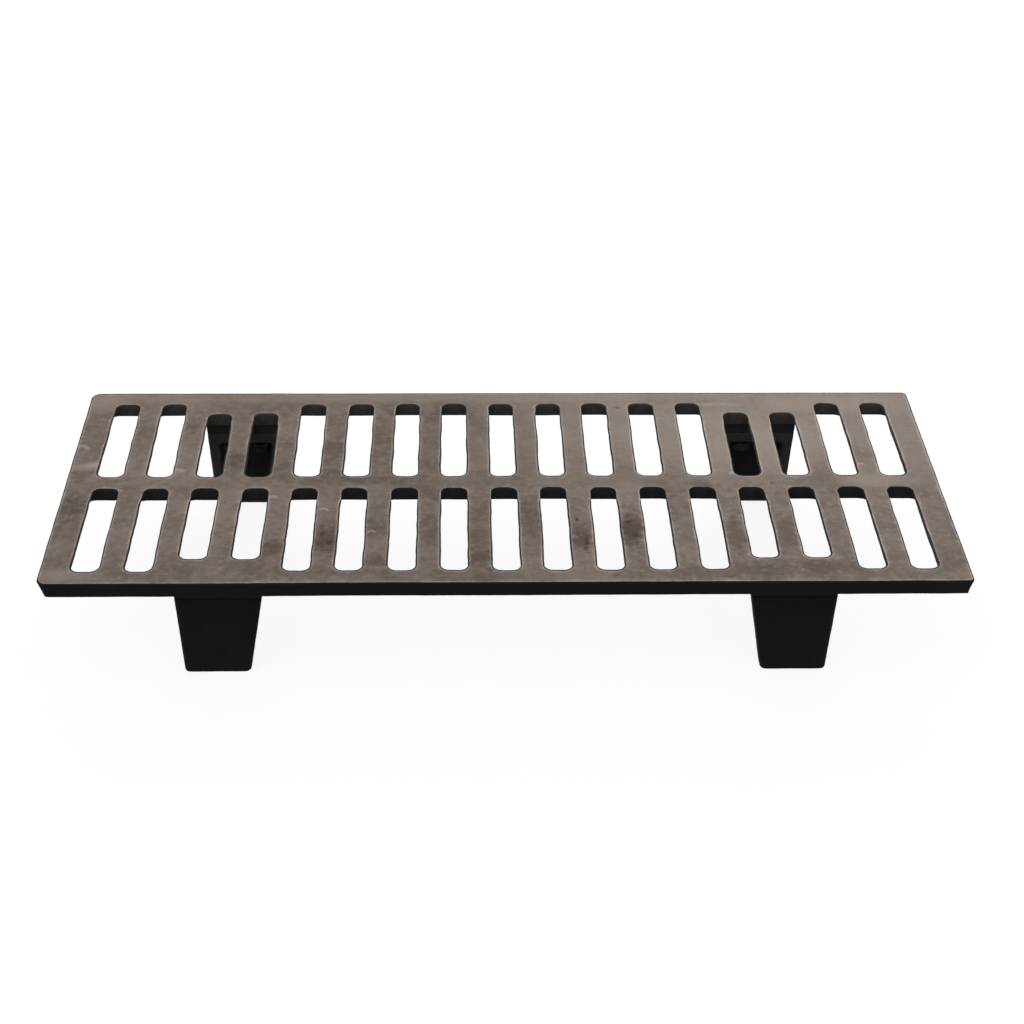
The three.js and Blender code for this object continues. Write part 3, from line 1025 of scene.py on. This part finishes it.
# %% Join the pads to the plate and drill them
pads = [mirrored(seat_pad(), *side) for side in LEGS.values()]
cut_or_add(plate, joined("pads", pads), "UNION")
cut_or_add(plate, upright_holes(PAD_FACE - CUT_PAST, PAD_FACE + HOLE_DEPTH), "DIFFERENCE")
lowest = min(v.co.z for v in plate.data.vertices)
print("plate with pads:", len(plate.data.polygons), "faces, down to", round(lowest / MM, 2), "mm")

# %% [markdown]
# ## The unevenness of a casting
#
# Sand moves a little as the mould is rammed, and iron shrinks as it cools, so a cast surface is
# never quite flat. Noise from the mathutils library moves each point of a finished mesh by a
# fraction of a millimetre. A point that would leave its piece's box in the frame is put back on
# it, so the grate keeps its size.

# %% Move points by smooth noise
NOISE_STRIDE = (11.3, 7.1, 3.7)


def uneven(mesh, amount, size, seed, direction=None):
    """Moves each point by up to amount along its normal, or along one direction."""
    offset = Vector([seed * stride for stride in NOISE_STRIDE])
    steps = [noise.noise(v.co / size + offset) * amount for v in mesh.vertices]
    moves = [(direction or v.normal) * step for v, step in zip(mesh.vertices, steps)]
    for vertex, step in zip(mesh.vertices, moves):
        vertex.co += step


def keep_within(mesh, low, high):
    """No point may leave a piece's own box in the frame."""
    for vertex in mesh.vertices:
        for axis in range(3):
            vertex.co[axis] = min(max(vertex.co[axis], low[axis]), high[axis])


def finish_mesh(piece, material, sharp=38):
    """One material, faces that point outwards, and hard edges where sharper than an angle."""
    piece.data.materials.clear()
    piece.data.materials.append(material)
    piece.data.polygons.foreach_set("material_index", [0] * len(piece.data.polygons))
    turn_outwards(piece.data)
    piece.data.shade_smooth()
    piece.data.set_sharp_from_angle(angle=math.radians(sharp))


# %% The plate is a little warped
UP = Vector((0, 0, 1))
WARP = 0.22 * MM
WARP_WAVE = 120 * MM
# The plate is lowered first, which leaves the warp some room under the top of the box.
LOWERED = 0.12 * MM

plate.data.transform(Matrix.Translation(UP * -LOWERED))
uneven(plate.data, WARP, WARP_WAVE, seed=1, direction=UP)
keep_within(plate.data, PLATE_LOW, PLATE_HIGH)
finish_mesh(plate, plate_finish)
print("plate: up to", round(max(v.co.z for v in plate.data.vertices) / MM, 2), "mm")

# %% Every piece rides on the one body and stands for nodes of the frame
def stand_for(piece, nodes):
    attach(piece, "root")
    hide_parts(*nodes)


stand_for(plate, ["grate_plate"])

# %% [markdown]
# ## The legs
#
# A leg tapers to its foot, mostly on its inner side. Its back, which faces the middle of the
# grate, is cored out to an even wall, because a thick lump of iron would shrink and crack, and
# a thick web is left on top for the bolts. The loft and the cutters give the exact shape but
# knife-sharp edges. So the solid is remeshed with small even faces and smoothed a little. That
# rounds every edge as sand does, and leaves enough points for a lumpy cast skin.

# %% One leg as an exact solid
FOOT_ROUND = 1.5 * MM
FOOT_CORNER = 3.5 * MM
LEG_WALL = 6.0 * MM
LEG_FRONT_WALL = 4.8 * MM
LEG_WEB = 8.0 * MM
FOOT_THICKNESS = 10.0 * MM
POCKET_CORNER = 3.0 * MM
POCKET_DRAFT = math.tan(math.radians(2))
WEB_UNDERSIDE = LEG_TOP - LEG_WEB


def leg_block():
    foot = rounded_edge(0.0, FOOT_ROUND, FOOT_CORNER)
    top = rounded_edge(LEG_TOP, SEAT_ROUND, LEG_CORNER, inwards=-1)
    return loft("leg", foot + top[::-1])


def pocket_core():
    """The hollow in the back, from its end wall to just past its mouth."""
    wall = HALF_DEPTH - LEG_RECESS - LEG_FRONT_WALL
    mouth = HALF_DEPTH - LEG_BACK - CUT_PAST
    low = leg_sides(FOOT_THICKNESS)
    high = leg_sides(WEB_UNDERSIDE)
    outlines = []
    for y in (wall, mouth):
        inset = LEG_WALL + (y - mouth) * POCKET_DRAFT
        floor = FOOT_THICKNESS + (y - mouth) * POCKET_DRAFT
        box = rounded_box((low[0] + inset, low[1] - inset, floor, WEB_UNDERSIDE), POCKET_CORNER, 0)
        outlines.append([lean_out(point, low, high, y) for point in box])
    return loft("pocket", outlines)


def lean_out(point, low, high, y):
    """Stands an outline up at a depth, with its sides following the leg's taper."""
    part = (point.y - FOOT_THICKNESS) / (WEB_UNDERSIDE - FOOT_THICKNESS)
    across = (point.x - low[0]) / (low[1] - low[0])
    shift = (high[0] - low[0]) * (1 - across) + (high[1] - low[1]) * across
    return Vector((point.x + shift * part, y, point.y))


# %% Core and drill the leg, then remesh and smooth it
LEG_VOXEL = 0.65 * MM


def soft_edged(piece):
    remesh = piece.modifiers.new("even_faces", "REMESH")
    remesh.mode = "VOXEL"
    remesh.voxel_size = LEG_VOXEL
    smooth = piece.modifiers.new("round_edges", "SMOOTH")
    smooth.factor = 0.5
    smooth.iterations = 3
    make_plain(piece)


pattern = add_object("leg_pattern", leg_block())
cut_or_add(pattern, pocket_core(), "DIFFERENCE")
cut_or_add(pattern, upright_holes(WEB_UNDERSIDE - CUT_PAST, LEG_TOP + CUT_PAST), "DIFFERENCE")
soft_edged(pattern)
casting = pattern.data
bpy.data.objects.remove(pattern)
print("leg:", len(casting.polygons), "faces")

# %% One casting for each corner of the grate, each with its own lumps and grains of sand
CAST_SKIN = ((0.10 * MM, 9 * MM), (0.05 * MM, 2.2 * MM))


def make_leg(name, side, seed):
    node_name = "leg_" + name
    leg = add_object(node_name + "_casting", mirrored(casting, *side))
    for amount, size in CAST_SKIN:
        uneven(leg.data, amount, size, seed)
    keep_within(leg.data, *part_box(node_name))
    finish_mesh(leg, leg_finish, sharp=60)
    stand_for(leg, [node_name])
    print(leg.name, "stands for", node_name)


for seed, (name, side) in enumerate(LEGS.items(), start=2):
    make_leg(name, side, seed)

# %% [markdown]
# ## Bolts and spring washers
#
# Eight short hexagon bolts hold the legs, and each has a split spring washer, which keeps it
# tight as the iron grows and shrinks in the fire. They repeat, so Geometry Nodes make one and
# place it on eight points, which are the middles of the bolts in the frame.
#
# A thread or a hexagon could be modelled face by face. Both are simpler as rules for a plain
# cylinder: the radius of each point follows from its angle and height. A hexagon's radius is its
# flat's distance over the cosine of the angle from that flat. A thread's radius goes in and
# out once for each turn and each pitch. The lower rings of one cylinder become the head and the
# others the shank, and the step between them is the face that the washer sits on.

# %% The bolt's sizes
BOLT_LOW, BOLT_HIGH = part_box("bolt_rear_right_inner")
BOLT_HEIGHT = BOLT_HIGH.z - BOLT_LOW.z
BOLT_HEAD_HEIGHT = 4.2 * MM
BOLT_SIZES = {
    "Head Flats": 11.1 * MM,
    "Head Height": BOLT_HEAD_HEIGHT,
    "Face Diameter": 10.4 * MM,
    "Thread Diameter": 6.3 * MM,
    "Thread Depth": 0.70 * MM,
    "Thread Pitch": 1.27 * MM,
    "Shank Length": BOLT_HEIGHT - BOLT_HEAD_HEIGHT,
    "Seed": 3,
    "Steel": bolt_finish,
}
BOLT_SIDES = 36
RINGS_PER_TURN = 8
HEAD_RINGS = 10
HEAD_BEVEL = math.tan(math.radians(30))
POINT_BEVEL = 1.2
print("a bolt is", round(BOLT_HEIGHT / MM, 2), "mm long with its head")

# %% The rules for a bolt's head and its thread
def head_radius(size, angle, up):
    sixth = math.pi / 3
    from_flat = (angle + 2 * math.pi).math("MODULO", sixth) - sixth / 2
    hexagon = size["Head Flats"] / 2.0 / from_flat.math("COSINE")
    cone = size["Face Diameter"] / 2.0 + up / HEAD_BEVEL
    return hexagon.math("MINIMUM", cone)


def thread_radius(size, angle, up):
    turn = up / size["Thread Pitch"] - angle / (2 * math.pi)
    depth = (turn.math("FRACT") - 0.5).math("ABSOLUTE") * 2.0
    crest = size["Thread Diameter"] / 2.0
    end_cone = crest - size["Thread Depth"] * POINT_BEVEL + size["Shank Length"] - up
    return (crest - depth * size["Thread Depth"]).math("MINIMUM", end_cone)


# %% The bolt's tree: a rod shaped by the rules, and placed on points
def bolt_tree(sizes):
    tree, places, size, end = geometry_tree("hexagon_bolt", sizes)
    shank_rings = round(sizes["Shank Length"] / sizes["Thread Pitch"] * RINGS_PER_TURN)
    rings = HEAD_RINGS + 1 + shank_rings
    rod = node(
        tree, "GeometryNodeMeshCylinder",
        {"Vertices": BOLT_SIDES, "Side Segments": rings, "Radius": 1.0, "Depth": float(rings)},
    )[0]
    x, y, z = parts_of(tree, position_of(tree))
    angle = y.math("ARCTAN2", x)
    ring = z + rings / 2
    on_shank = ring.math("GREATER_THAN", HEAD_RINGS + 0.5)
    up_head = ring * (size["Head Height"] / HEAD_RINGS)
    up_shank = (ring - (HEAD_RINGS + 1.0)) * (size["Shank Length"] / shank_rings)
    head = head_radius(size, angle, up_head)
    radius = on_shank * (thread_radius(size, angle, up_shank) - head) + head
    up = on_shank * (up_shank + size["Head Height"] - up_head) + up_head
    middle = (size["Head Height"] + size["Shank Length"]) / 2.0
    place = vector(tree, angle.math("COSINE") * radius, angle.math("SINE") * radius, up - middle)
    bolt = move(tree, rod, position=place)
    finish_tree(tree, placed(tree, bolt, places, size["Seed"]), size["Steel"], end)
    return tree


def placed(tree, piece, places, seed):
    """The piece on each point, turned by a random angle, as a spanner happened to leave it."""
    turn = node(tree, "FunctionNodeRandomValue", {"Seed": seed})[1] * (2 * math.pi)
    inputs = {"Points": places, "Instance": piece, "Rotation": vector(tree, z=turn)}
    return node(tree, "GeometryNodeInstanceOnPoints", inputs)[0]


def points_mesh(kind):
    """A mesh of bare points, one in the middle of each bolt or washer of the frame."""
    mesh = bpy.data.meshes.new(kind)
    mesh.from_pydata(places_of(kind), [], [])
    return mesh


# %% Make the eight bolts
bolts = make_with_tree("leg_bolts", bolt_tree(BOLT_SIZES), BOLT_SIZES, points_mesh("bolt"))
finish_mesh(bolts, bolt_finish, sharp=25)
stand_for(bolts, node_names("bolt"))
print("bolts:", len(bolts.data.polygons), "faces")

# %% [markdown]
# A spring washer is an arc of square wire. Curve to Mesh sweeps a rounded square round an arc
# that doesn't quite close. The wire rises a little from one end to the other, as it still does
# in a washer that has been pressed flat.

# %% Spring washers
WASHER_LOW, WASHER_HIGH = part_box("spring_washer_rear_right_inner")
WASHER_SIZES = {
    "Outer Diameter": 12.0 * MM,
    "Bore": 6.95 * MM,
    "Thickness": WASHER_HIGH.z - WASHER_LOW.z,
    "Split Angle": math.radians(13),
    "Edge Round": 0.18 * MM,
    "Rise": 0.12 * MM,
    "Seed": 5,
    "Steel": bolt_finish,
}
ARC_POINTS = 72
WIRE_CORNER_POINTS = 3


def washer_tree(sizes):
    tree, places, size, end = geometry_tree("spring_washer", sizes)
    middle = (size["Outer Diameter"] + size["Bore"]) / 4.0
    arc = node(
        tree, "GeometryNodeCurveArc",
        {"Resolution": ARC_POINTS, "Radius": middle, "Sweep Angle": -size["Split Angle"] + 2 * math.pi},
    )[0]
    along = node(tree, "GeometryNodeSplineParameter")[0]
    arc = move(tree, arc, offset=vector(tree, z=(along - 0.5) * size["Rise"]))
    wire = node(
        tree, "GeometryNodeCurvePrimitiveQuadrilateral",
        {
            "Width": (size["Outer Diameter"] - size["Bore"]) / 2.0,
            "Height": size["Thickness"] - size["Rise"],
        },
    )[0]
    wire = node(
        tree, "GeometryNodeFilletCurve",
        {"Curve": wire, "Radius": size["Edge Round"], "Count": WIRE_CORNER_POINTS}, mode="POLY",
    )[0]
    ring = node(
        tree, "GeometryNodeCurveToMesh", {"Curve": arc, "Profile Curve": wire, "Fill Caps": True}
    )[0]
    finish_tree(tree, placed(tree, ring, places, size["Seed"]), size["Steel"], end)
    return tree


washers = make_with_tree(
    "spring_washers", washer_tree(WASHER_SIZES), WASHER_SIZES, points_mesh("spring_washer")
)
finish_mesh(washers, bolt_finish, sharp=30)
stand_for(washers, node_names("spring_washer"))
print("washers:", len(washers.data.polygons), "faces")

# %% [markdown]
# ## Floor, light and camera
#
# The grate stands on a plain pale floor that runs out of the picture. Its material adds plain
# white for camera rays and for reflections, so that it shows as a white sheet but still takes
# the soft shadow of the grate. Seen from below, the sheet is clear, so that the underside can be
# looked at. An even sky and a broad sun light the grate at a plain level, and two windows behind
# it give the bare iron its sheen, strongest on the rear right corner, next to the nearer one.
# There the top's colour also holds painted sheen.

# %% The floor and its backdrop
FLOOR_SIZE = 12.0
FLOOR_GREY = 0.15
FLOOR_GLOW = 0.885
FLOOR_LOWERED = 0.2 * MM
WHITE = (1.0, 1.0, 1.0, 1.0)


def seen_directly(tree):
    """1 for camera rays and for rays that a reflection or glass sends on, otherwise 0."""
    rays = tree.nodes.new("ShaderNodeLightPath")
    camera, glossy, through = (
        Field(tree, rays.outputs[label])
        for label in ("Is Camera Ray", "Is Glossy Ray", "Is Transmission Ray")
    )
    return camera.math("MAXIMUM", glossy).math("MAXIMUM", through)


def make_sheet():
    material, tree, shader, _ = new_material("white_sheet")
    feed(tree, shader, {
        "Base Color": (FLOOR_GREY, FLOOR_GREY, FLOOR_GREY, 1.0),
        "Roughness": 1.0,
        "Specular IOR Level": 0.0,
        "Emission Color": WHITE,
        "Emission Strength": seen_directly(tree) * FLOOR_GLOW,
    })
    from_below = Field(tree, tree.nodes.new("ShaderNodeNewGeometry").outputs["Backfacing"])
    clear = node(tree, "ShaderNodeBsdfTransparent")[0]
    sheet = Field(tree, shader.outputs[0])
    shown = node(tree, "ShaderNodeMixShader", (from_below, sheet, clear))[0]
    feed(tree, tree.nodes["Material Output"], {"Surface": shown})
    return material


def make_floor():
    half = FLOOR_SIZE / 2
    corners = ((-half, -half), (half, -half), (half, half), (-half, half))
    mesh = bpy.data.meshes.new("floor")
    mesh.from_pydata([(x, y, -FLOOR_LOWERED) for x, y in corners], [], [(0, 1, 2, 3)])
    mesh.materials.append(make_sheet())
    floor = add_object("floor", mesh)


make_floor()
print("floor:", FLOOR_SIZE, "m square")

# %% Sky, sun and windows
SKY_LIGHT = 0.55
SUN_STRENGTH = 0.6
SUN_SPREAD = math.radians(50)
SUN_HEIGHT = 2.0
SUN_TOWARDS = (0.25, 0.35, -1.0)
WINDOW_SIDE = 0.7
WINDOWS = (
    ("right_window", (0.45, 1.0, 0.62), 4.8),
    ("left_window", (-0.5, 0.9, 0.9), 3.2),
)


def make_sky():
    world = bpy.data.worlds.new("studio")
    world.use_nodes = True
    tree = world.node_tree
    strength = seen_directly(tree) * (1.0 - SKY_LIGHT) + SKY_LIGHT
    feed(tree, tree.nodes["Background"], {"Color": WHITE, "Strength": strength})
    bpy.context.scene.world = world


def add_lamp(light, place, towards):
    lamp = add_object(light.name, light)
    lamp.location = place
    lamp.rotation_euler = Vector(towards).to_track_quat("-Z", "Y").to_euler()


def make_sun():
    light = bpy.data.lights.new("soft_sun", "SUN")
    light.energy = SUN_STRENGTH
    light.angle = SUN_SPREAD
    add_lamp(light, (0, 0, SUN_HEIGHT), SUN_TOWARDS)


def make_window(name, place, power):
    light = bpy.data.lights.new(name, "AREA")
    light.energy = power
    light.size = WINDOW_SIDE
    add_lamp(light, place, Vector((0, 0, TOP)) - Vector(place))


make_sky()
make_sun()
for window in WINDOWS:
    make_window(*window)
print(len(bpy.data.lights), "lamps")

# %% [markdown]
# The camera stands where the photograph was taken from. Its place, its turn and its lens were
# worked out from the plate's four corners in the picture. It looks down by 35 degrees, a hair
# to the left of straight on.

# %% The camera
CAMERA_PLACE = Vector((-0.0267, -0.9914, 0.7493))
CAMERA_DOWN = 0.613218
CAMERA_TURN = -0.0261576
CAMERA_ROLL = -0.0030334
CAMERA_FOCAL = 1872.23
PICTURE_SIDE = 1024
SENSOR = 36.0


def make_camera():
    level = Matrix(((1, 0, 0), (0, 0, -1), (0, 1, 0)))
    down = Matrix.Rotation(CAMERA_DOWN, 3, "X")
    turn = Matrix.Rotation(CAMERA_TURN, 3, "Y")
    roll = Matrix.Rotation(CAMERA_ROLL, 3, "Z")
    to_picture = roll @ turn @ down @ level
    right, below, ahead = (Vector(row) for row in to_picture)
    lens = bpy.data.cameras.new("camera")
    lens.sensor_width = SENSOR
    lens.lens = CAMERA_FOCAL / PICTURE_SIDE * SENSOR
    camera = add_object("camera", lens)
    axes = Matrix((right, -below, -ahead)).transposed()
    camera.matrix_world = Matrix.Translation(CAMERA_PLACE) @ axes.to_4x4()
    bpy.context.scene.camera = camera
    print("camera:", round(lens.lens, 1), "mm lens")


make_camera()
bpy.context.scene.view_settings.view_transform = "Standard"
